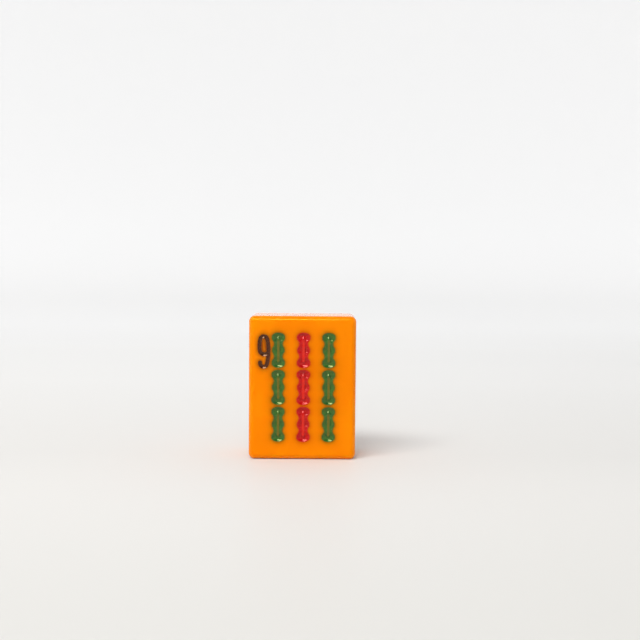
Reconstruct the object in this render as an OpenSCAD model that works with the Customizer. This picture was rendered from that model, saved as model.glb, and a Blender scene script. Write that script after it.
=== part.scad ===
// Engraved tile for a matching game: the nine of bamboos.
// A solid cast block has nine bamboo sticks and a numeral cut into one face, and each
// cut is lined with its own fill of enamel.
// The tile stands on its short end. X is its width, Y its thickness and Z its height.
// The engraved face looks towards -Y, and the origin is the middle of the base.

/* [Tile] */
// Width of the tile, left to right
tile_width = 22.5; // [20:0.1:30]
// Thickness of the tile, front to back
tile_thickness = 12.7; // [8:0.1:22]
// Height of the tile
tile_height = 30.2; // [27.5:0.1:42]
// Radius of the rolled edges and the ball corners
edge_radius = 1.2; // [0.6:0.05:1.6]

/* [Bamboo sticks] */
// Length of one stick
stick_length = 7.38; // [6.6:0.02:7.6]
// Gap between one stick and the next in its column
stick_gap = 0.42; // [0.2:0.02:0.8]
// Margin from the tile's right edge to the right column of sticks
right_margin = 4.33; // [3:0.01:5]
// Width of a stick across its two end caps
cap_width = 2.78; // [2.5:0.02:3]
// Width of a stick across its middle knuckle
knuckle_width = 2.62; // [2.3:0.02:2.8]
// Width of a stick at its two waists
waist_width = 1.84; // [1.6:0.02:2]
// Depth of the cut at the end caps
cut_depth = 0.55; // [0.45:0.01:0.65]
// Width of the rib left standing along the middle of a cut
rib_width = 0.9; // [0.7:0.02:1]
// Length of that rib, tip to tip
rib_length = 5.5; // [4.6:0.05:5.6]
// How far the crest of the rib lies under the face
rib_sink = 0.1; // [0.06:0.01:0.16]

/* [Numeral] */
// Width of the numeral
numeral_width = 2.65; // [2.4:0.05:2.7]
// Height of the numeral
numeral_height = 7.13; // [6.6:0.01:7.6]
// Height of the numeral's closed loop
loop_height = 4.55; // [4:0.05:4.8]
// Width of the numeral's stroke, cut by a ball-nosed tool
stroke_width = 0.78; // [0.6:0.02:0.84]
// Margin from the tile's left edge to the numeral
left_margin = 1.9; // [1.7:0.05:2.6]
// Gap between the numeral and the left column of sticks
numeral_gap = 0.28; // [0.16:0.02:0.4]
// How far the top of the numeral lies under the top of the sticks
numeral_drop = 0.42; // [0:0.02:1]

/* [Enamel] */
// Thickness of the enamel that lines each cut
enamel = 0.12; // [0.08:0.01:0.16]

/* [Hidden] */
// The columns of sticks spread evenly between the numeral and the right margin
pattern_left = left_margin + numeral_width + numeral_gap;
column_pitch = (tile_width - pattern_left - cap_width - right_margin) / 2;
row_pitch = stick_length + stick_gap;
// Where the middle stick sits on the face, from the middle of the tile
pattern_right = tile_width / 2 - right_margin - cap_width / 2 - column_pitch;
pattern_up = 0.17;

// The form cutter that cuts a whole stick turns on an axis held over the face
cutter_lift = (pow(cap_width / 2, 2) - pow(cut_depth, 2)) / (2 * cut_depth);
cap_r = cutter_lift + cut_depth;
knuckle_r = norm([knuckle_width / 2, cutter_lift]);
waist_r = norm([waist_width / 2, cutter_lift]);
// Radii of its crowned knuckle, its hollow waists and its rounded ends
knuckle_arc = 3.5;
waist_arc = 1.6;
end_arc = 1.2;
// How far the end arcs would swell past the caps, which leaves a soft shoulder
cap_swell = 0.03;
// How far the end arcs run past the caps, down to the face
end_reach = sqrt(pow(end_arc, 2) - pow(end_arc - cut_depth - cap_swell, 2));
cap_place = stick_length / 2 - end_reach;
// Where along the stick the waists and the edge of the knuckle's crown lie
waist_place = cap_place / 2;
crown_share = 0.66;
crown_reach = waist_place * crown_share;

// The numeral is a chain of arcs, each tangent to the next, that a ball-nosed tool follows.
// Radii of the long stem, the loop's left side, its top and the hook
stroke_r = stroke_width / 2;
stem_arc = 12;
side_arc = 7;
top_arc = 0.74;
hook_arc = 0.73;
// The loop's foot nearly spans the width between the lines of the two sides
line_width = numeral_width - stroke_width;
foot_share = 0.508;
foot_arc = line_width * foot_share;
// The top, foot and hook are this much finer, and run this many degrees into the others,
// so that they end inside them
stroke_step = 0.02;
stroke_lap = 4;
// How far short of a half circle the top arc is at each end, where it meets stem and side
lean = acos((stem_arc + side_arc - line_width) / (stem_arc + side_arc - 2 * top_arc));
// Centres of the arcs, across and up from the stem's outermost point and the loop's top
top_place = [(stem_arc - top_arc) * cos(lean) - stem_arc, -top_arc];
stem_place = [-stem_arc, top_place.y - (stem_arc - top_arc) * sin(lean)];
side_place = top_place + (side_arc - top_arc) * [cos(lean), -sin(lean)];
foot_up = stroke_width + foot_arc - loop_height;
foot_lean = asin((side_place.y - foot_up) / (side_arc - foot_arc));
foot_place = [side_place.x - (side_arc - foot_arc) * cos(foot_lean), foot_up];
hook_up = stroke_width + hook_arc - numeral_height;
hook_lean = asin((stem_place.y - hook_up) / (stem_arc - hook_arc));
hook_place = [stem_place.x + (stem_arc - hook_arc) * cos(hook_lean), hook_up];
// Where the foot runs into the stem, and how far the hook's tip rises past its side
foot_end = -acos(-foot_place.x / foot_arc);
tip_rise = 11;

// How far the boxes that trim the enamel to the face run past it elsewhere
overrun = 1;
$fn = 96;

// A quarter of a disc, between the X and Y axes
module quarter_disc(radius) {
    intersection() {
        circle(r = radius);
        square(radius);
    }
}

// The layer that closes one end of the block: four rolled edges and four ball corners
module end_layer(flat, radius) {
    translate([-flat.x / 2, -flat.y / 2, 0]) cube([flat.x, flat.y, radius]);
    for (side = [0, 1]) {
        mirror([0, side, 0]) translate([-flat.x / 2, flat.y / 2, 0])
            rotate([90, 0, 90]) linear_extrude(flat.x) quarter_disc(radius);
        mirror([side, 0, 0]) translate([flat.x / 2, flat.y / 2, 0])
            rotate([90, 0, 0]) linear_extrude(flat.y) quarter_disc(radius);
        for (end = [0, 1])
            mirror([side, 0, 0]) mirror([0, end, 0])
                translate([flat.x / 2, flat.y / 2, 0])
                    rotate_extrude(angle = 90) quarter_disc(radius);
    }
}

// The block: flat faces, edges rolled to a quarter round and corners to a ball
module rounded_block(size, radius) {
    flat = [size.x - 2 * radius, size.y - 2 * radius, size.z - 2 * radius];
    translate([0, 0, radius]) linear_extrude(flat.z) {
        square([size.x, flat.y], center = true);
        square([flat.x, size.y], center = true);
        for (side = [0, 1], end = [0, 1])
            mirror([side, 0]) mirror([0, end]) translate([flat.x / 2, flat.y / 2])
                quarter_disc(radius);
    }
    translate([0, 0, size.z - radius]) end_layer(flat, radius);
    translate([0, 0, radius]) mirror([0, 0, 1]) end_layer(flat, radius);
}

module blank() {
    rounded_block([tile_width, tile_thickness, tile_height], edge_radius);
}

// Puts its children on the engraved face, where Z is up and +Y runs into the tile
module on_face(right, up) {
    translate([right, -tile_thickness / 2, tile_height / 2 + up]) children();
}

// Half outline of the form cutter, radius across and length up, smaller all round by inset
module cutter_outline(inset) {
    difference() {
        union() {
            intersection() {
                translate([knuckle_r - knuckle_arc, 0]) circle(r = knuckle_arc - inset);
                translate([0, -crown_reach]) square([knuckle_r, 2 * crown_reach]);
            }
            for (end = [0, 1])
                mirror([0, end]) {
                    translate([0, crown_reach])
                        square([cap_r - inset, cap_place - crown_reach]);
                    intersection() {
                        translate([cap_r + cap_swell - end_arc, cap_place])
                            circle(r = end_arc - inset);
                        translate([0, cap_place]) square([cap_r - inset, end_arc]);
                    }
                }
        }
        for (end = [-1, 1])
            translate([waist_r + waist_arc, end * waist_place]) circle(r = waist_arc + inset);
    }
}

// The rib left between the two halves of a cut, thicker all round by growth
module rib(growth) {
    rib_r = rib_width / 2;
    straight = rib_length - 2 * rib_r;
    translate([0, rib_sink + rib_r, 0]) {
        cylinder(h = straight, r = rib_r + growth, center = true);
        for (end = [-1, 1])
            translate([0, 0, end * straight / 2]) sphere(r = rib_r + growth);
    }
}

// The space one stick takes out of the face, with its walls moved in by inset
module stick_cut(inset) {
    difference() {
        translate([0, -cutter_lift, 0]) rotate_extrude() cutter_outline(inset);
        rib(inset);
    }
}

// The enamel in one stick's cut: a lining of even thickness, level with the face
module stick_enamel(column, row) {
    on_face(pattern_right + column * column_pitch, pattern_up + row * row_pitch)
        intersection() {
            difference() {
                stick_cut(0);
                stick_cut(enamel);
            }
            translate([-cap_width / 2 - overrun, 0, -stick_length / 2 - overrun])
                cube([
                    cap_width + 2 * overrun,
                    cut_depth + overrun,
                    stick_length + 2 * overrun
                ]);
        }
}

// Puts its children at the numeral, where the lines of its stem's edge and its top cross
module at_numeral() {
    on_face(
        left_margin + numeral_width - stroke_r - tile_width / 2,
        pattern_up + row_pitch + stick_length / 2 - numeral_drop - stroke_r
    ) children();
}

// A round bar along an arc in the plane of the face, between two angles
module arc_bar(place, radius, bar_r, start, end) {
    translate([place.x, 0, place.y])
        rotate([90, 0, 0]) rotate([0, 0, start])
            rotate_extrude(angle = end - start) translate([radius, 0]) circle(r = bar_r);
}

// The numeral's strokes as round bars along the face, thinner by inset
module numeral_bars(inset) {
    bar_r = stroke_r - inset;
    fine_r = bar_r - stroke_step;
    arc_bar(stem_place, stem_arc, bar_r, -hook_lean, lean);
    arc_bar(side_place, side_arc, bar_r, 180 - lean, 180 + foot_lean);
    arc_bar(top_place, top_arc, fine_r, lean - stroke_lap, 180 - lean + stroke_lap);
    arc_bar(foot_place, foot_arc, fine_r, 180 + foot_lean - stroke_lap, 360 + foot_end);
    arc_bar(hook_place, hook_arc, fine_r, -180 - tip_rise, stroke_lap - hook_lean);
    translate([
        hook_place.x - hook_arc * cos(tip_rise),
        0,
        hook_place.y + hook_arc * sin(tip_rise)
    ]) sphere(r = bar_r);
}

// The block with all its cuts
module tile_body() {
    color("darkorange")
        difference() {
            blank();
            for (column = [-1:1], row = [-1:1])
                on_face(pattern_right + column * column_pitch, pattern_up + row * row_pitch)
                    stick_cut(0);
            at_numeral() numeral_bars(0);
        }
}

module green_stick(column, row) { color("seagreen") stick_enamel(column, row); }

module red_stick(row) { color("crimson") stick_enamel(0, row); }

// The enamel in the numeral's cut
module numeral_nine() {
    color([0.2, 0.09, 0.05])
        at_numeral()
            intersection() {
                difference() {
                    numeral_bars(0);
                    numeral_bars(enamel);
                }
                translate([-numeral_width - overrun, 0, -numeral_height - overrun])
                    cube([
                        numeral_width + stroke_width + 2 * overrun,
                        stroke_width + overrun,
                        numeral_height + numeral_width + 2 * overrun
                    ]);
            }
}

tile_body();
green_stick(-1, 1);  // green_stick_top_left
green_stick(-1, 0);  // green_stick_middle_left
green_stick(-1, -1);  // green_stick_bottom_left
red_stick(1);  // red_stick_top
red_stick(0);  // red_stick_middle
red_stick(-1);  // red_stick_bottom
green_stick(1, 1);  // green_stick_top_right
green_stick(1, 0);  // green_stick_middle_right
green_stick(1, -1);  // green_stick_bottom_right
numeral_nine();
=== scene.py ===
"""The looks of one engraved tile: the nine of bamboos, cast in orange resin.

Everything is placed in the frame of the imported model: metres, the origin in the middle of
the base, the engraved face towards -Y. The meshes are worked out in millimetres.
"""

import math

import bpy
import numpy as np
from mathutils import Matrix, Vector


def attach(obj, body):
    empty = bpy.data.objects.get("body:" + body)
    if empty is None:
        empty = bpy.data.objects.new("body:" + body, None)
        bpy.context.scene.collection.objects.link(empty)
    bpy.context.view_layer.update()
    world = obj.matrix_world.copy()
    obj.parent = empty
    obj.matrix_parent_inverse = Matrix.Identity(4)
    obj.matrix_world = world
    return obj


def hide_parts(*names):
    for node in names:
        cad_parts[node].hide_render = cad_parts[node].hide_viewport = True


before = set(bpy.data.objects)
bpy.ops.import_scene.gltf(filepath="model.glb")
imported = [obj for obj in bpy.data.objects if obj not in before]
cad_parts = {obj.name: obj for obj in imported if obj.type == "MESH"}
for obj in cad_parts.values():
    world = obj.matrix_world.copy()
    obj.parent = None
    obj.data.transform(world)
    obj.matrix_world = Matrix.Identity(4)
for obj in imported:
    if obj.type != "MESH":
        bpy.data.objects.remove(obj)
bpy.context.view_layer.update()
MM = 0.001

# ---------------------------------------------------------------- sizes, in millimetres

WIDTH, THICKNESS, HEIGHT = 22.5, 12.7, 30.2
HALF = np.array([WIDTH, THICKNESS, HEIGHT]) / 2
EDGE_R = 1.2
MIDDLE = HEIGHT / 2

STICK_LENGTH, CAP_WIDTH, KNUCKLE_WIDTH, WAIST_WIDTH = 7.38, 2.78, 2.62, 1.84
CUT_DEPTH, RIB_WIDTH, RIB_SINK = 0.55, 0.9, 0.1
COLUMN_PITCH, ROW_PITCH = 5.28, 7.8
PATTERN_RIGHT, PATTERN_UP = 0.25, 0.17
STICK_COLUMNS = [PATTERN_RIGHT + c * COLUMN_PITCH for c in (-1, 0, 1)]
STICK_ROWS = [PATTERN_UP + r * ROW_PITCH for r in (-1, 0, 1)]

# The cutter that makes a stick turns on an axis held this far over the face
LIFT = ((CAP_WIDTH / 2) ** 2 - CUT_DEPTH**2) / (2 * CUT_DEPTH)
CAP_R = LIFT + CUT_DEPTH
KNUCKLE_R = math.hypot(KNUCKLE_WIDTH / 2, LIFT)
WAIST_R = math.hypot(WAIST_WIDTH / 2, LIFT)
KNUCKLE_ARC, WAIST_ARC, END_ARC, CAP_SWELL = 3.5, 1.6, 1.2, 0.03
END_REACH = math.sqrt(END_ARC**2 - (END_ARC - CUT_DEPTH - CAP_SWELL) ** 2)
CAP_PLACE = STICK_LENGTH / 2 - END_REACH
WAIST_PLACE = CAP_PLACE / 2
CROWN_SHARE = 0.66
CROWN_REACH = WAIST_PLACE * CROWN_SHARE

# The numeral is a chain of arcs that touch. Its origin is the top right corner of the box
# round the line that the tool's tip follows
NUMERAL_RIGHT, NUMERAL_UP = -7.09, 10.85
NUMERAL_MIDDLE = (-0.9, -3.1)
STROKE_R = 0.39
NUMERAL_WIDTH, NUMERAL_HEIGHT, LOOP_HEIGHT = 2.65, 7.13, 4.55
STEM_ARC, SIDE_ARC, TOP_ARC, HOOK_ARC = 12.0, 7.0, 0.74, 0.73
LINE_WIDTH = NUMERAL_WIDTH - 2 * STROKE_R
FOOT_ARC = 0.508 * LINE_WIDTH
# How many degrees the end of the hook rises past the left side of its arc
TIP_RISE = 11.0

# A pair below is a start and a run past it, for rise()

# How far a rib's tips fall away, and where along the stick
TIP_FALL, TIP_ALONG = 0.45, (2.25, 0.95)
# A rib and the numeral's cut are round over this share of their radius, and then this steep
RIB_ROUND, RIB_STEEP = 0.96, 3.4
STROKE_ROUND, STROKE_STEEP = 0.97, 4.0
# Softness of the lip round a cut, of the corner where a rib meets its cut without and with
# enamel in it, and of the creases between the swells of a stick
LIP, RIB_FOOT, POOL, CREASE = 0.16, 0.06, 0.2, 0.18
# That corner is sharp at the lip, and softens over a depth
CORNER_SHARP, CORNER_DEPTH = 0.001, (0.0, 0.1)

ENAMEL = 0.12
# The back of a fill lies this far inside the resin, so that nothing shows between them
SEAT = 0.02
# Where the enamel is wiped off a rib, across it and from its lower and upper end, and how much
WIPED_ACROSS, WIPED_LOW, WIPED_HIGH, WIPED_SHARE = (0.13, 0.22), (-2.7, 0.5), (-2.6, 1.1), 0.75
# How much the resin shows on a rib, at a stick's lip and at the numeral's, and how deep
THIN_RIB, THIN_LIP, THIN_NUMERAL, THIN_DEPTH = 0.9, 0.7, 0.8, (0.0, 0.16)
# Tool marks across a cut: how far apart, and how high in the red and the green sticks
MARK_PITCH, RED_MARKS, GREEN_MARKS = 0.41, 0.026, 0.008
# They start at a depth and beside the rib, and fade out towards a stick's ends
MARK_DEPTH, MARK_ACROSS, MARK_END = (0.1, 0.16), (0.4, 0.2), 0.4
# The numeral's enamel lies as a valley: the slope of its sides, how round its floor is, and
# the least share of the full thickness
VALLEY_SLOPE, VALLEY_FLOOR, VALLEY_LEAST = 0.62, 0.06, 0.9

# How far the stain and painted shade of a stick's fill and of the numeral's reach into the resin
# beside them, and how much stronger they are on the island inside the numeral's loop
STAIN_AND_SHADE_REACH, DARK_REACH, ISLAND_STAIN_AND_SHADE = 0.26, 0.4, 2.0
# The painted shade round a stick: its reach, and how far the curve of its ends starts from them
SHADE_REACH, SHADE_END = 1.1, 1.2
# The painted shade round the numeral: its reach, its softness at the cut, and its strength
DARK_SHADE_REACH, DARK_SHADE_SOFT, DARK_SHADE = 0.9, 0.5, 0.5

# Half sizes of the windows in which cuts, stains and their painted shade are worked out
STICK_WINDOW, NUMERAL_WINDOW = (1.9, ROW_PITCH / 2), (1.75, 4.3)
STICK_HALO, NUMERAL_HALO = (2.6, STICK_LENGTH / 2 + 1.2), (2.6, 5.0)
# Grid steps over the engraving, the rest of the face, the plain sides and the fills
FINE_STEP, FACE_STEP, SIDE_STEP, STICK_STEP, NUMERAL_STEP = 0.067, 0.5, 2.5, 0.05, 0.04
# How far the fine grid reaches past the numeral's origin, and past the middle of a stick
FINE_NUMERAL, FINE_UP = (-2.6, 0.55), 3.85

# ---------------------------------------------------------------- colours, from 0 to 255

# The resin's clouds and flecks, the painted shade beside the cuts, and its worn edges
CLOUD_DARK, CLOUD_LIGHT, FLECK = (246, 131, 0), (254, 140, 1), (240, 126, 0)
PAINTED_SHADE, WORN_EDGE = (216, 106, 0), (255, 168, 50)
# Beside each fill the resin darkens towards its colour: partly the fill's stain, partly painted
# shade where light in the resin is lost under the fill
STAINS_AND_SHADE = {"green_stain_and_shade": (100, 74, 14), "red_stain_and_shade": (190, 10, 10), "dark_stain_and_shade": (120, 38, 14)}
# Each enamel's main colour, its colour where it is thin, its deeper tone in clouds, and its
# gloss's tint
GREENS = (26, 91, 26), (100, 82, 8), (12, 77, 34), (1.0, 0.98, 0.4, 1.0)
REDS = (188, 0, 4), (216, 34, 12), (170, 0, 4), (1.0, 0.38, 0.34, 1.0)
DARKS = (62, 14, 2), (104, 34, 5), (46, 8, 2), (1.0, 0.58, 0.34, 1.0)
# The table towards the viewer, with painted shade where the lamp lights it more strongly, and at
# the tile
TABLE_FRONT, TABLE = (214, 213, 210), (227, 226, 224)

# ---------------------------------------------------------------- view and light, in metres

CAMERA_PLACE, CAMERA_PITCH, CAMERA_ROLL = (0.003625, -0.21373, 0.04258), 0.0632, 0.0076
SENSOR_WIDTH, LENS = 36.0, 56.07
LAMP_PLACE, LAMP_TARGET = (-0.217, -0.408, 0.606), (0, 0, 0.015)
LAMP_SIZE, LAMP_ENERGY, LAMP_COLOUR = (0.58, 0.25), 4.4, (1.0, 0.99, 0.97)
TABLE_R, BOWL_R = 0.42, 0.5

# ---------------------------------------------------------------- shapes of the cuts


def smooth_step(value):
    t = np.clip(value, 0.0, 1.0)
    return t * t * (3 - 2 * t)


def rise(value, start, run):
    """0 up to a start and 1 from a run past it, with a smooth slope between."""
    return smooth_step((value - start) / run)


def smooth_max(a, b, width):
    """The larger of two values, with the corner between them rounded over a width."""
    blend = np.clip(width - np.abs(a - b), 0.0, None) / width
    return np.maximum(a, b) + blend * blend * width / 4


def smooth_min(a, b, width):
    return -smooth_max(-a, -b, width)


def cutter_radius(s):
    """Radius of the turned cutter at a place along a stick."""
    along = np.abs(s)
    crown = KNUCKLE_R - KNUCKLE_ARC + np.sqrt(np.clip(KNUCKLE_ARC**2 - along**2, 0, None))
    past = np.clip(along - CAP_PLACE, 0, None)
    end = CAP_R + CAP_SWELL - END_ARC + np.sqrt(np.clip(END_ARC**2 - past**2, 0, None))
    radius = np.where(along <= CROWN_REACH, crown, np.minimum(CAP_R, end))
    waist = WAIST_R + WAIST_ARC - np.sqrt(
        np.clip(WAIST_ARC**2 - (along - WAIST_PLACE) ** 2, 0, None)
    )
    return smooth_min(radius, waist, CREASE)


def soft_cut(field):
    """The depth of a cut whose lip is worn round just inside its outline."""
    inside = np.clip(field, 0, None)
    return np.where(inside < LIP, inside**2 / (2 * LIP), inside - LIP / 2)


def thickness_over(cut):
    """How thick the enamel is over a cut: full where it is deep, nothing at its lip."""
    return ENAMEL * cut / (ENAMEL + cut)


def stick_field(x, s):
    """Depth of a stick's cut without its rib. It is below zero outside the outline."""
    radius = cutter_radius(s)
    return np.sqrt(np.clip(radius**2 - x**2, 0, None)) - LIFT


def rib_depth(x, s):
    """Depth of the rib's surface under the face, which falls away steeply beside it."""
    rib_r = RIB_WIDTH / 2
    away = np.abs(x)
    near = np.minimum(away, RIB_ROUND * rib_r)
    crest = RIB_SINK + TIP_FALL * rise(np.abs(s), *TIP_ALONG)
    return crest + rib_r - np.sqrt(rib_r**2 - near**2) + RIB_STEEP * (away - near)


def stick_body_depth(x, s):
    """The resin's surface in a stick's cut."""
    cut = soft_cut(stick_field(x, s))
    softness = RIB_FOOT * rise(cut, *CORNER_DEPTH) + CORNER_SHARP
    return smooth_min(cut, rib_depth(x, s), softness)


def rib_share(x, s):
    """1 on the crest of the rib, 0 beside it and at its tips."""
    crest = 1 - rise(np.abs(x), *WIPED_ACROSS)
    return crest * rise(s, *WIPED_LOW) * rise(-s, *WIPED_HIGH)


def stick_enamel_depth(x, s, mark_height):
    """The enamel's surface: it pools at the rib's foot and thins out on crest and lip."""
    field = stick_field(x, s)
    cut = soft_cut(field)
    pooled = smooth_min(cut, rib_depth(x, s), POOL)
    flank = rise(field, *MARK_DEPTH) * rise(np.abs(x), *MARK_ACROSS)
    flank *= smooth_step((STICK_LENGTH / 2 - np.abs(s)) / MARK_END - 1)
    marks = mark_height * flank * np.sin(2 * math.pi * s / MARK_PITCH)
    return pooled - thickness_over(cut) * (1 - WIPED_SHARE * rib_share(x, s)) + marks


def stick_rim(count=241):
    """Points all round a stick's outline."""
    s = np.sin(np.linspace(-math.pi / 2, math.pi / 2, count)) * STICK_LENGTH / 2
    x = np.sqrt(np.clip(cutter_radius(s) ** 2 - LIFT**2, 0, None))
    return np.concatenate([x, -x]), np.concatenate([s, s])


def stick_away(x, s):
    """Distance outside a stick's outline, 0 inside it."""
    rim_x, rim_s = stick_rim()
    away = np.hypot(x[:, None] - rim_x, s[:, None] - rim_s).min(axis=1)
    return np.where(stick_field(x, s) > 0, 0, away)


def stick_thinness(x, s):
    """1 where the enamel is so thin that the resin shows through, 0 where it is full."""
    lip = 1 - rise(stick_field(x, s), *THIN_DEPTH)
    return np.maximum(THIN_RIB * rib_share(x, s), THIN_LIP * lip)


def numeral_arcs():
    """The numeral's arcs, each with its centre, radius and two angles in degrees."""
    lean = math.acos((STEM_ARC + SIDE_ARC - LINE_WIDTH) / (STEM_ARC + SIDE_ARC - 2 * TOP_ARC))
    top = np.array([(STEM_ARC - TOP_ARC) * math.cos(lean) - STEM_ARC, -TOP_ARC])
    stem = np.array([-STEM_ARC, top[1] - (STEM_ARC - TOP_ARC) * math.sin(lean)])
    side = top + (SIDE_ARC - TOP_ARC) * np.array([math.cos(lean), -math.sin(lean)])
    foot_up = 2 * STROKE_R + FOOT_ARC - LOOP_HEIGHT
    foot_lean = math.asin((side[1] - foot_up) / (SIDE_ARC - FOOT_ARC))
    foot = np.array([side[0] - (SIDE_ARC - FOOT_ARC) * math.cos(foot_lean), foot_up])
    hook_up = 2 * STROKE_R + HOOK_ARC - NUMERAL_HEIGHT
    hook_lean = math.asin((stem[1] - hook_up) / (STEM_ARC - HOOK_ARC))
    hook = np.array([stem[0] + (STEM_ARC - HOOK_ARC) * math.cos(hook_lean), hook_up])
    foot_end = 360 - math.degrees(math.acos(-foot[0] / FOOT_ARC))
    lean, foot_lean, hook_lean = (math.degrees(v) for v in (lean, foot_lean, hook_lean))
    return [
        (stem, STEM_ARC, -hook_lean, lean),
        (top, TOP_ARC, lean, 180 - lean),
        (side, SIDE_ARC, 180 - lean, 180 + foot_lean),
        (foot, FOOT_ARC, 180 + foot_lean, foot_end),
        (hook, HOOK_ARC, -180 - TIP_RISE, -hook_lean),
    ]


NUMERAL_ARCS = numeral_arcs()


def numeral_away(x, z):
    """Distance from the line that the tool's tip follows."""
    away = np.full(np.shape(x), np.inf)
    for centre, radius, start, end in NUMERAL_ARCS:
        dx, dz = x - centre[0], z - centre[1]
        angle = (np.degrees(np.arctan2(dz, dx)) - start) % 360
        on_arc = angle <= end - start
        ring = np.abs(np.hypot(dx, dz) - radius)
        tips = [
            np.hypot(dx - radius * math.cos(a), dz - radius * math.sin(a))
            for a in (math.radians(start), math.radians(end))
        ]
        away = np.minimum(away, np.where(on_arc, ring, np.minimum(*tips)))
    return away


def numeral_field(x, z):
    """Depth of the numeral's cut, below zero outside its outline."""
    away = numeral_away(x, z)
    near = np.minimum(away, STROKE_R * STROKE_ROUND)
    past = np.clip(away - STROKE_R * STROKE_ROUND, 0, None)
    return np.sqrt(STROKE_R**2 - near**2) - STROKE_STEEP * past


def numeral_outline(x, z):
    return STROKE_R - numeral_away(x, z)


def numeral_body_depth(x, z):
    return soft_cut(numeral_field(x, z))


def numeral_enamel_depth(x, z):
    """The enamel's surface: it pools in the cut and leaves a shallow valley with even sides."""
    reach = VALLEY_SLOPE * np.minimum(numeral_away(x, z), STROKE_R)
    valley = math.hypot(VALLEY_SLOPE * STROKE_R, VALLEY_FLOOR) - np.hypot(reach, VALLEY_FLOOR)
    cut = soft_cut(numeral_field(x, z))
    return np.minimum(valley, cut - VALLEY_LEAST * thickness_over(cut))


def numeral_thinness(x, z):
    return THIN_NUMERAL * (1 - rise(numeral_field(x, z), *THIN_DEPTH))


# ---------------------------------------------------------------- meshes


def add_to_scene(name, data):
    thing = bpy.data.objects.new(name, data)
    bpy.context.scene.collection.objects.link(thing)
    return thing


def make_mesh(name, vertices, faces):
    mesh = bpy.data.meshes.new(name)
    mesh.from_pydata(vertices, [], faces)
    mesh.polygons.foreach_set("use_smooth", [True] * len(mesh.polygons))
    return mesh


def make_object(name, vertices, faces, normals, layers):
    """A mesh object with exact normals and one float value per vertex for each layer."""
    mesh = make_mesh(name, (np.asarray(vertices) * MM).tolist(), faces)
    for layer, values in layers.items():
        attribute = mesh.attributes.new(layer, "FLOAT", "POINT")
        attribute.data.foreach_set("value", np.asarray(values, dtype=np.float32))
    mesh.normals_split_custom_set_from_vertices(np.asarray(normals).tolist())
    return add_to_scene(name, mesh)


def slopes(depth, x, z, step=0.004):
    """How fast a depth changes across and up."""
    across = (depth(x + step, z) - depth(x - step, z)) / (2 * step)
    up = (depth(x, z + step) - depth(x, z - step)) / (2 * step)
    return across, up


def facing(across, up, sign=1.0):
    """Unit normals of a surface that is sunk into the face by a depth."""
    normals = np.stack([across, -np.ones_like(across), up], axis=1) * sign
    return normals / np.linalg.norm(normals, axis=1)[:, None]


def outline_cells(outline, xs, zs, halvings=14):
    """Cuts a grid to the inside of an outline: its points, and the cells as rings of them."""
    gx, gz = np.meshgrid(xs, zs, indexing="ij")
    value = outline(gx, gz)
    points, index = [], {}

    def corner(i, j):
        if (i, j) not in index:
            index[(i, j)] = len(points)
            points.append((gx[i, j], gz[i, j]))
        return index[(i, j)]

    def crossing(a, b):
        key = (a, b) if a < b else (b, a)
        if key not in index:
            (ax, az), (bx, bz) = [(gx[k], gz[k]) for k in key]
            low, high = 0.0, 1.0
            inside_low = value[key[0]] > 0
            for _ in range(halvings):
                half = (low + high) / 2
                there = outline(ax + (bx - ax) * np.array([half]), az + (bz - az) * half)
                low, high = (half, high) if (there[0] > 0) == inside_low else (low, half)
            index[key] = len(points)
            points.append((ax + (bx - ax) * low, az + (bz - az) * low))
        return index[key]

    cells = []
    for i in range(len(xs) - 1):
        for j in range(len(zs) - 1):
            ring = [(i, j), (i, j + 1), (i + 1, j + 1), (i + 1, j)]
            inside = [value[k] > 0 for k in ring]
            if not any(inside):
                continue
            cell = []
            for k in range(4):
                here, there = ring[k], ring[(k + 1) % 4]
                if inside[k]:
                    cell.append(corner(*here))
                if inside[k] != inside[(k + 1) % 4]:
                    cell.append(crossing(here, there))
            if len(cell) > 2:
                cells.append(cell)
    return np.array(points), cells


def rim_edges(cells):
    """The edges that only one cell has, each in the direction of that cell."""
    seen = {}
    for cell in cells:
        for k, start in enumerate(cell):
            edge = (start, cell[(k + 1) % len(cell)])
            if edge[::-1] in seen:
                del seen[edge[::-1]]
            else:
                seen[edge] = True
    return list(seen)


class Lining:
    """The closed lining of one cut: a skin over the cut's surface and one just inside it."""

    def __init__(self, outline, top, bed, thinness, xs, zs):
        points, cells = outline_cells(outline, xs, zs)
        x, z = points[:, 0], points[:, 1]
        count = len(points)
        self.x = np.concatenate([x, x])
        self.z = np.concatenate([z, z])
        self.depth = np.concatenate([top(x, z), bed(x, z) + SEAT])
        self.normals = np.concatenate(
            [facing(*slopes(top, x, z)), facing(*slopes(bed, x, z), sign=-1.0)]
        )
        self.thin = np.tile(thinness(x, z), 2)
        front = [cell[::-1] for cell in cells]
        back = [[count + k for k in cell] for cell in cells]
        wall = [[b, a, a + count, b + count] for a, b in rim_edges(front)]
        self.faces = front + back + wall

    def place(self, name, right, up):
        """Makes the lining at its place on the face."""
        vertices = np.stack(
            [self.x + right, self.depth - THICKNESS / 2, self.z + MIDDLE + up], axis=1
        )
        return make_object(name, vertices, self.faces, self.normals, {"thin": self.thin})


def span(low, high, step):
    return np.linspace(low, high, max(2, round((high - low) / step) + 1))


def roll_lines(segments=7):
    """Offsets over a half of a rolled edge, from its tangent line to its middle."""
    return [EDGE_R * math.tan(math.radians(45) * k / segments) for k in range(1, segments + 1)]


def with_rolls(inner, size):
    """Grid lines over a side of the block: the inner lines and those of both rolled edges."""
    flat = size / 2 - EDGE_R
    rolls = roll_lines()
    return np.concatenate([[-flat - r for r in rolls[::-1]], inner, [flat + r for r in rolls]])


def face_lines(fine_ranges, size):
    """Inner grid lines between the tangent lines, fine only inside the ranges."""
    flat = size / 2 - EDGE_R
    lines, at = [], -flat
    for low, high in fine_ranges:
        low = max(low, at)
        if low > at:
            lines.append(span(at, low, FACE_STEP)[:-1])
        lines.append(span(low, high, FINE_STEP)[:-1])
        at = high
    lines.append(span(at, flat, FACE_STEP))
    return np.concatenate(lines)


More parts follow.
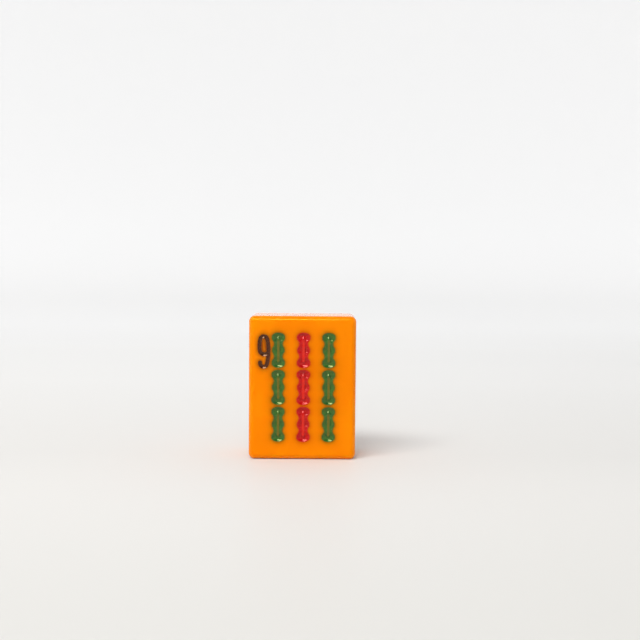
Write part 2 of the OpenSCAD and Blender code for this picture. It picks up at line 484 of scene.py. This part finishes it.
def pattern_shade(x, z):
    """Painted shade: 1 close to the cuts, falling off over a millimetre or two of resin."""
    away = np.clip(numeral_away(x - NUMERAL_RIGHT, z - NUMERAL_UP) - STROKE_R, 0, None)
    total = DARK_SHADE * np.exp(-np.hypot(away, DARK_SHADE_SOFT) / DARK_SHADE_REACH)
    for right in STICK_COLUMNS:
        for up in STICK_ROWS:
            past = np.clip(np.abs(z - up) - STICK_LENGTH / 2 + SHADE_END, 0, None)
            away = np.clip(np.hypot(x - right, past) - CAP_WIDTH / 2, 0, None)
            total += np.exp(-away / SHADE_REACH)
    return np.clip(total, 0, 1)


def within(x, z, half):
    """Which points lie in a window round the origin."""
    return (np.abs(x) < half[0]) & (np.abs(z) < half[1])


def by_numeral(x, z, half):
    """Which points lie in a window round the numeral, and their places from its origin."""
    right, up = x - NUMERAL_RIGHT, z - NUMERAL_UP
    window = within(right - NUMERAL_MIDDLE[0], up - NUMERAL_MIDDLE[1], half)
    return window, right[window], up[window]


def face_depth(x, z):
    """Depth of every cut in the face."""
    depth = np.zeros_like(x)
    for right in STICK_COLUMNS:
        for up in STICK_ROWS:
            window = within(x - right, z - up, STICK_WINDOW)
            depth[window] = stick_body_depth(x[window] - right, z[window] - up)
    window, right, up = by_numeral(x, z, NUMERAL_WINDOW)
    depth[window] = np.maximum(depth[window], numeral_body_depth(right, up))
    return depth


def face_stains_and_shade(x, z):
    """How much a point beside a cut takes on the colour of its fill, for each colour: partly the
    fill's stain, partly painted shade.
    """
    stains_and_shade = {name: np.zeros_like(x) for name in STAINS_AND_SHADE}
    for column, right in enumerate(STICK_COLUMNS):
        stain_and_shade = stains_and_shade["red_stain_and_shade" if column == 1 else "green_stain_and_shade"]
        for up in STICK_ROWS:
            window = within(x - right, z - up, STICK_HALO)
            away = stick_away(x[window] - right, z[window] - up)
            stain_and_shade[window] += np.exp(-away / STAIN_AND_SHADE_REACH)
    window, right, up = by_numeral(x, z, NUMERAL_HALO)
    stain_and_shade = np.exp(-np.clip(numeral_away(right, up) - STROKE_R, 0, None) / DARK_REACH)
    # The island inside the loop is darker: stain and painted shade reach it from all round
    in_loop = (np.abs(right + LINE_WIDTH / 2) < LINE_WIDTH / 2) & (up < 0)
    in_loop &= up > 2 * STROKE_R - LOOP_HEIGHT
    stains_and_shade["dark_stain_and_shade"][window] = stain_and_shade * np.where(in_loop, ISLAND_STAIN_AND_SHADE, 1)
    return {name: np.clip(value, 0, 1) for name, value in stains_and_shade.items()}


def on_block(direction, u, v, lines_u, lines_v):
    """Points of one side of the rounded block, with normals, on a grid of lines."""
    flat = HALF - EDGE_R
    axis = int(np.argmax(np.abs(direction)))
    gu, gv = np.meshgrid(lines_u, lines_v, indexing="ij")
    flat_point = np.zeros(gu.shape + (3,))
    flat_point[..., u], flat_point[..., v] = gu, gv
    flat_point[..., axis] = direction[axis] * HALF[axis]
    core = np.clip(flat_point, -flat, flat)
    away = flat_point - core
    normals = away / np.linalg.norm(away, axis=-1)[..., None]
    return core + EDGE_R * normals, normals


def block_faces():
    """Joins the sides of the block into one closed skin, with the fine front face."""
    x_ranges = [(NUMERAL_RIGHT + FINE_NUMERAL[0], NUMERAL_RIGHT + FINE_NUMERAL[1])]
    x_ranges += [(c - STICK_WINDOW[0], c + STICK_WINDOW[0]) for c in STICK_COLUMNS]
    fine_x = face_lines(x_ranges, WIDTH)
    fine_z = face_lines([(STICK_ROWS[0] - FINE_UP, STICK_ROWS[2] + FINE_UP)], HEIGHT)
    rough_x = span(EDGE_R - WIDTH / 2, WIDTH / 2 - EDGE_R, SIDE_STEP)
    rough_z = span(EDGE_R - HEIGHT / 2, HEIGHT / 2 - EDGE_R, SIDE_STEP)
    flat_y = THICKNESS / 2 - EDGE_R
    front_y = np.array([-flat_y - r for r in roll_lines()[::-1]] + [-flat_y])
    back_y = -front_y[::-1]

    points, normals, keys, faces = [], [], {}, []

    def add(point, normal):
        key = tuple(np.round(point, 4))
        if key not in keys:
            keys[key] = len(points)
            points.append(point)
            normals.append(normal)
        return keys[key]

    def patch(direction, u, v, lines_u, lines_v, sunk=False):
        where, normal = on_block(direction, u, v, lines_u, lines_v)
        if sunk:
            depth = face_depth(where[..., 0], where[..., 2])
            across = np.gradient(depth, where[:, 0, 0], axis=0)
            up = np.gradient(depth, where[0, :, 2], axis=1)
            where[..., 1] += depth
            cut = depth > 1e-6
            normal[cut] = facing(across[cut], up[cut])
        ids = np.empty(where.shape[:2], dtype=int)
        for i in range(ids.shape[0]):
            for j in range(ids.shape[1]):
                ids[i, j] = add(where[i, j], normal[i, j])
        flip = np.cross(np.eye(3)[u], np.eye(3)[v]) @ direction < 0
        for i in range(ids.shape[0] - 1):
            for j in range(ids.shape[1] - 1):
                ring = [ids[i, j], ids[i + 1, j], ids[i + 1, j + 1], ids[i, j + 1]]
                faces.append(ring[::-1] if flip else ring)

    halves = ((-1.0, fine_x, fine_z, front_y), (1.0, rough_x, rough_z, back_y))
    for facing_y, inner_x, inner_z, lines_y in halves:
        all_x, all_z = with_rolls(inner_x, WIDTH), with_rolls(inner_z, HEIGHT)
        patch(np.array([0, facing_y, 0]), 0, 2, all_x, all_z, sunk=facing_y < 0)
        for sign in (-1.0, 1.0):
            patch(np.array([sign, 0, 0]), 1, 2, lines_y, all_z)
            patch(np.array([0, 0, sign]), 0, 1, all_x, lines_y)

    def band(direction, along, fine, rough):
        """The flat band of one side between the fine front and the plain back."""
        size = (WIDTH, THICKNESS, HEIGHT)[along]

        def rank(lines, y):
            lines = with_rolls(lines, size)
            where, normal = on_block(direction, 1, along, np.array([y]), lines)
            return [add(where[0, k], normal[0, k]) for k in range(len(lines))]

        near, far = rank(fine, front_y[-1]), rank(rough, back_y[0])
        skip = len(roll_lines())
        flip = np.cross(np.eye(3)[1], np.eye(3)[along]) @ direction < 0

        def ring(cell):
            faces.append(cell[::-1] if flip else cell)

        for k in list(range(skip)) + list(range(-skip - 1, -1)):
            ring([near[k], far[k], far[k + 1], near[k + 1]])
        close, off = near[skip:-skip], far[skip:-skip]
        k = 0
        for m in range(len(off) - 1):
            goal = round((m + 1) * (len(close) - 1) / (len(off) - 1))
            middle = (k + goal) // 2
            while k < goal:
                if k == middle:
                    ring([close[k], off[m], off[m + 1]])
                ring([close[k], off[m] if k < middle else off[m + 1], close[k + 1]])
                k += 1

    for sign in (-1.0, 1.0):
        band(np.array([sign, 0, 0]), 2, fine_z, rough_z)
        band(np.array([0, 0, sign]), 0, fine_x, rough_x)
    return np.array(points), faces, np.array(normals)


def make_block():
    points, faces, normals = block_faces()
    over = np.clip(np.abs(points) - (HALF - EDGE_R), 0, None)
    layers = {"rolled": np.sort(over, axis=1)[:, 1] / EDGE_R}
    front = points[:, 1] < EDGE_R - THICKNESS / 2
    # Painted shade round the cuts, and the stains beside the fills with their painted shade, on
    # the front only
    shades = face_stains_and_shade(points[front, 0], points[front, 2])
    shades["shade"] = pattern_shade(points[front, 0], points[front, 2])
    for name, values in shades.items():
        layers[name] = np.zeros(len(points))
        layers[name][front] = values
    return make_object("block", points + np.array([0, 0, MIDDLE]), faces, normals, layers)


# ---------------------------------------------------------------- materials


def linear(colour):
    """A colour written as it shows on a screen, from 0 to 255, as the shader wants it."""
    out = []
    for value in colour:
        v = value / 255
        out.append(v / 12.92 if v <= 0.04045 else ((v + 0.055) / 1.055) ** 2.4)
    return (*out, 1.0)


class Nodes:
    """Short ways to add and link the nodes of one tree, which starts empty."""

    def __init__(self, tree):
        self.tree = tree
        self.tree.nodes.clear()

    def add(self, kind, **settings):
        node = self.tree.nodes.new(kind)
        for key, value in settings.items():
            setattr(node, key, value)
        return node

    def link(self, source, target):
        self.tree.links.new(source, target)

    def put(self, value, socket):
        if isinstance(value, bpy.types.NodeSocket):
            self.link(value, socket)
        else:
            socket.default_value = value

    def math(self, operation, a, b=0.0, clamp=False):
        node = self.add("ShaderNodeMath", operation=operation, use_clamp=clamp)
        self.put(a, node.inputs[0])
        self.put(b, node.inputs[1])
        return node.outputs[0]

    def remap(self, value, low, high, to_low=0.0, to_high=1.0):
        node = self.add("ShaderNodeMapRange", interpolation_type="SMOOTHSTEP")
        self.put(value, node.inputs["Value"])
        limits = {"From Min": low, "From Max": high, "To Min": to_low, "To Max": to_high}
        for socket, number in limits.items():
            node.inputs[socket].default_value = number
        return node.outputs["Result"]

    def seen(self):
        """1 for the rays that show a background: camera, glossy and clear ones."""
        path = self.add("ShaderNodeLightPath")
        share = path.outputs["Is Camera Ray"]
        for name in ("Is Glossy Ray", "Is Transmission Ray"):
            share = self.math("MAXIMUM", share, path.outputs[name])
        return share


class Surface(Nodes):
    """The nodes of a new material."""

    def __init__(self, name):
        self.material = bpy.data.materials.new(name)
        self.material.use_nodes = True
        super().__init__(self.material.node_tree)
        self.shader = self.add("ShaderNodeBsdfPrincipled")
        output = self.add("ShaderNodeOutputMaterial")
        self.link(self.shader.outputs[0], output.inputs["Surface"])

    def give(self, **values):
        """Sets the shader's sockets, written with _ for each space, or links to them."""
        for name, value in values.items():
            self.put(value, self.shader.inputs[name.replace("_", " ")])

    def layer(self, name):
        return self.add("ShaderNodeAttribute", attribute_name=name).outputs["Fac"]

    def place(self, stretch=(1.0, 1.0, 1.0), turn=(0.0, 0.0, 0.0)):
        """The point on the object in millimetres, stretched and turned."""
        source = self.add("ShaderNodeTexCoord").outputs["Object"]
        mapping = self.add("ShaderNodeMapping")
        self.link(source, mapping.inputs["Vector"])
        mapping.inputs["Rotation"].default_value = turn
        mapping.inputs["Scale"].default_value = [v / MM for v in stretch]
        return mapping.outputs[0]

    def noise(self, vector, scale, detail=3.0, roughness=0.5, distortion=0.0):
        node = self.add("ShaderNodeTexNoise")
        self.link(vector, node.inputs["Vector"])
        node.inputs["Scale"].default_value = scale
        node.inputs["Detail"].default_value = detail
        node.inputs["Roughness"].default_value = roughness
        node.inputs["Distortion"].default_value = distortion
        return node.outputs["Fac"]

    def mix(self, share, a, b):
        node = self.add("ShaderNodeMix", data_type="RGBA")
        self.put(share, node.inputs["Factor"])
        self.put(a, node.inputs["A"])
        self.put(b, node.inputs["B"])
        return node.outputs["Result"]

    def scratches(self, scale, turns, reach, slimness=40, edge=0.03):
        """Fine hairlines: long thin streaks of noise in several directions."""
        total = None
        for turn in turns:
            stretch = (scale, scale / slimness, scale / slimness)
            streak = self.noise(self.place(stretch, turn), 1.0, 1.0)
            line = self.remap(streak, 1 - reach, 1 - reach + edge)
            total = line if total is None else self.math("MAXIMUM", total, line)
        return total

    def bump(self, height, strength, distance):
        node = self.add("ShaderNodeBump")
        node.inputs["Strength"].default_value = strength
        node.inputs["Distance"].default_value = distance
        self.link(height, node.inputs["Height"])
        self.give(Normal=node.outputs[0])


def resin_material():
    """Polished cast resin: faint clouds, painted shade and stain at each cut, hairlines and soft
    wear.
    """
    n = Surface("cast_resin")
    flecked, shade_share, stained_and_shaded, faded = 0.25, 0.55, 0.8, 0.25
    cloud = n.noise(n.place((0.14, 0.14, 0.09)), 1.0, 4.0, 0.55, 0.6)
    fleck = n.noise(n.place(), 2.2, 3.0, 0.6)
    colour = n.mix(n.remap(cloud, 0.3, 0.7), linear(CLOUD_DARK), linear(CLOUD_LIGHT))
    colour = n.mix(n.remap(fleck, 0.55, 0.8, 0.0, flecked), colour, linear(FLECK))
    # Painted shade round the cuts, where light in the resin is lost under the fills
    colour = n.mix(n.math("MULTIPLY", n.layer("shade"), shade_share), colour, linear(PAINTED_SHADE))
    # Stain and painted shade right beside each fill
    for name, stain_and_shade in STAINS_AND_SHADE.items():
        share = n.math("MULTIPLY", n.layer(name), stained_and_shaded)
        colour = n.mix(share, colour, linear(stain_and_shade))
    worn = n.remap(n.noise(n.place(), 0.9, 4.0, 0.6), 0.45, 0.75)
    worn = n.math("MULTIPLY", worn, n.remap(n.layer("rolled"), 0.25, 0.8))
    colour = n.mix(n.math("MULTIPLY", worn, faded), colour, linear(WORN_EDGE))

    # Hairlines and wear add to a gloss that is slightly cloudy
    lined, rubbed = 0.16, 0.08
    lines = n.scratches(6.0, ((0.2, 0.3, 0.5), (1.1, 0.4, 2.1), (0.5, 2.0, 1.2)), 0.33)
    gloss = n.remap(n.noise(n.place(), 0.35, 4.0, 0.6), 0.3, 0.7, 0.05, 0.1)
    gloss = n.math("ADD", gloss, n.math("MULTIPLY", lines, lined))
    gloss = n.math("ADD", gloss, n.math("MULTIPLY", worn, rubbed))
    peel = n.noise(n.place(), 1.6, 2.0, 0.5)
    n.bump(n.math("SUBTRACT", peel, n.math("MULTIPLY", lines, 0.6)), 0.16, 0.00003)
    n.give(Base_Color=colour, Roughness=gloss, IOR=1.5, Specular_IOR_Level=0.48)
    n.give(Specular_Tint=(1.0, 0.78, 0.06, 1.0), Subsurface_Weight=0.45)
    n.give(Subsurface_Radius=(1.0, 0.35, 0.08), Subsurface_Scale=0.0014)
    return n.material


def enamel_material(name, full, thin, deep, tint):
    """Glossy enamel in clouds of two tones, which lets the resin through where it is thin."""
    n = Surface(name)
    cloud = n.noise(n.place(), 0.9, 3.0, 0.6)
    colour = n.mix(n.remap(cloud, 0.35, 0.7), linear(full), linear(deep))
    patchy = n.remap(n.noise(n.place((1.0, 1.0, 0.6)), 2.6, 3.0, 0.6), 0.25, 0.75, 0.75, 1.1)
    share = n.math("MULTIPLY", n.layer("thin"), patchy, clamp=True)
    gloss = n.remap(n.noise(n.place(), 1.8, 3.0, 0.6), 0.3, 0.7, 0.08, 0.14)
    n.bump(n.noise(n.place((1.0, 1.0, 2.2)), 1.5, 2.0, 0.5), 0.12, 0.00004)
    n.give(Base_Color=n.mix(share, colour, linear(thin)), Roughness=gloss)
    n.give(IOR=1.5, Specular_IOR_Level=0.8, Specular_Tint=tint)
    return n.material


def floor_material():
    """A plain pale table, with painted shade towards the viewer where the lamp lights it more
    strongly.
    """
    n = Surface("pale_table")
    place = n.add("ShaderNodeTexCoord").outputs["Object"]
    apart = n.add("ShaderNodeSeparateXYZ")
    n.link(place, apart.inputs[0])
    back = apart.outputs["Y"]
    # Painted shade: darker towards the viewer, to even out the lamp's stronger light there
    colour = n.mix(n.remap(back, -0.13, -0.02), linear(TABLE_FRONT), linear(TABLE))
    # Far from the tile the table and backdrop show at their full white, and light nothing.
    # Behind it the white grows first fast and then slowly, up to a limit
    fast, slow, slow_start, limit = 1.05, 0.6, 0.055, 0.295
    behind = n.math("ADD", n.math("MULTIPLY", back, slow), slow_start)
    behind = n.math("MINIMUM", n.math("MULTIPLY", back, fast), behind)
    behind = n.math("MINIMUM", n.math("MAXIMUM", behind, 0.0), limit)
    # All round it grows with the distance, and is a little weaker towards the viewer
    distance = n.add("ShaderNodeVectorMath", operation="LENGTH")
    n.link(place, distance.inputs[0])
    far = n.remap(distance.outputs["Value"], 0.16, 0.68, 0.0, 0.37)
    far = n.math("MULTIPLY", far, n.remap(back, 0.3, -0.5, 1.0, 0.7))
    white = n.math("MULTIPLY", n.seen(), n.math("MAXIMUM", behind, far))
    n.give(Base_Color=colour, Roughness=0.55, IOR=1.3)
    n.give(Emission_Color=(0.97, 0.99, 1.04, 1.0), Emission_Strength=white)
    return n.material


# ---------------------------------------------------------------- pieces


def settle(piece, node, material, slot):
    """Gives a piece its material and its place in the model."""
    piece.data.materials.append(material)
    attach(piece, "root")
    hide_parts(node)


def make_sticks():
    xs = span(-CAP_WIDTH / 2 - STICK_STEP, CAP_WIDTH / 2 + STICK_STEP, STICK_STEP)
    zs = span(-STICK_LENGTH / 2 - STICK_STEP, STICK_LENGTH / 2 + STICK_STEP, STICK_STEP)

    def lining(mark_height):
        def top(x, s):
            return stick_enamel_depth(x, s, mark_height)

        return Lining(stick_field, top, stick_body_depth, stick_thinness, xs, zs)

    green = lining(GREEN_MARKS), enamel_material("green_fill", *GREENS), "green_enamel"
    red = lining(RED_MARKS), enamel_material("red_fill", *REDS), "red_enamel"
    columns = (
        ("green_stick_{}_left", green),
        ("red_stick_{}", red),
        ("green_stick_{}_right", green),
    )
    for right, (name, (shape, material, slot)) in zip(STICK_COLUMNS, columns):
        for up, row in zip(STICK_ROWS, ("bottom", "middle", "top")):
            node = name.format(row)
            settle(shape.place("fill_" + node, right, up), node, material, slot)


def make_numeral():
    margin = 0.1
    xs = span(-NUMERAL_WIDTH + STROKE_R - margin, STROKE_R + margin, NUMERAL_STEP)
    zs = span(-NUMERAL_HEIGHT + STROKE_R - margin, STROKE_R + margin, NUMERAL_STEP)
    lining = Lining(
        numeral_outline, numeral_enamel_depth, numeral_body_depth, numeral_thinness, xs, zs
    )
    piece = lining.place("fill_numeral_nine", NUMERAL_RIGHT, NUMERAL_UP)
    settle(piece, "numeral_nine", enamel_material("dark_fill", *DARKS), "dark_enamel")


# ---------------------------------------------------------------- stage, light and camera


def make_floor(spokes=96, curve_rings=18):
    """A round table that rises all round in a wide curve, alike from every side."""
    profile = [(0.05, 0.0), (0.15, 0.0), (0.28, 0.0), (TABLE_R, 0.0)]
    for k in range(1, curve_rings + 1):
        angle = math.radians(90 * k / curve_rings)
        profile.append((TABLE_R + BOWL_R * math.sin(angle), BOWL_R * (1 - math.cos(angle))))
    points, faces = [(0.0, 0.0, 0.0)], []
    for away, z in profile:
        for k in range(spokes):
            angle = 2 * math.pi * k / spokes
            points.append((away * math.cos(angle), away * math.sin(angle), z))
    for k in range(spokes):
        following = (k + 1) % spokes
        faces.append([0, 1 + k, 1 + following])
        for ring in range(len(profile) - 1):
            a, b = 1 + ring * spokes, 1 + (ring + 1) * spokes
            faces.append([a + k, b + k, b + following, a + following])
    mesh = make_mesh("table", points, faces)
    mesh.materials.append(floor_material())
    add_to_scene("table", mesh)


def make_lamp():
    """One large soft lamp from the upper left, in front of the tile."""
    lamp = bpy.data.lights.new("key", "AREA")
    lamp.shape = "RECTANGLE"
    lamp.size, lamp.size_y = LAMP_SIZE
    lamp.energy = LAMP_ENERGY
    lamp.color = LAMP_COLOUR
    holder = add_to_scene("key", lamp)
    holder.location = LAMP_PLACE
    direction = Vector(LAMP_TARGET) - Vector(LAMP_PLACE)
    holder.rotation_euler = direction.to_track_quat("-Z", "Y").to_euler()


def make_world():
    """Soft light all round, stronger from behind than from in front. Camera, glossy and clear
    rays see a pale room with a dim ceiling.
    """
    world = bpy.data.worlds.new("studio")
    bpy.context.scene.world = world
    world.use_nodes = True
    n = Nodes(world.node_tree)
    apart = n.add("ShaderNodeSeparateXYZ")
    n.link(n.add("ShaderNodeTexCoord").outputs["Generated"], apart.inputs[0])
    light, room = (n.add("ShaderNodeBackground") for _ in range(2))
    n.put((0.99, 0.995, 1.0, 1.0), light.inputs["Color"])
    n.put(n.remap(apart.outputs["Y"], -0.7, 0.7, 0.46, 0.76), light.inputs["Strength"])
    n.put((1.0, 1.0, 1.0, 1.0), room.inputs["Color"])
    n.put(n.remap(apart.outputs["Z"], 0.45, 0.7, 0.93, 0.12), room.inputs["Strength"])
    mix = n.add("ShaderNodeMixShader")
    for socket, source in enumerate((n.seen(), light.outputs[0], room.outputs[0])):
        n.link(source, mix.inputs[socket])
    n.link(mix.outputs[0], n.add("ShaderNodeOutputWorld").inputs["Surface"])


def make_camera():
    """The photograph's view, fitted to the edges of the tiles in it."""
    forward = Vector((0, math.cos(CAMERA_PITCH), -math.sin(CAMERA_PITCH)))
    level_up = Vector((0, math.sin(CAMERA_PITCH), math.cos(CAMERA_PITCH)))
    right = Vector((1, 0, 0)) * math.cos(CAMERA_ROLL) + level_up * math.sin(CAMERA_ROLL)
    up = right.cross(forward)
    data = bpy.data.cameras.new("view")
    data.sensor_width, data.sensor_fit, data.lens = SENSOR_WIDTH, "HORIZONTAL", LENS
    data.clip_start, data.clip_end = 0.01, 20.0
    camera = add_to_scene("view", data)
    turn = Matrix((right, up, -forward)).transposed().to_4x4()
    camera.matrix_world = Matrix.Translation(CAMERA_PLACE) @ turn
    bpy.context.scene.camera = camera


make_camera()
make_world()
make_floor()
make_lamp()
settle(make_block(), "tile_body", resin_material(), "orange_resin")
make_sticks()
make_numeral()
bpy.context.scene.view_settings.view_transform = "Standard"
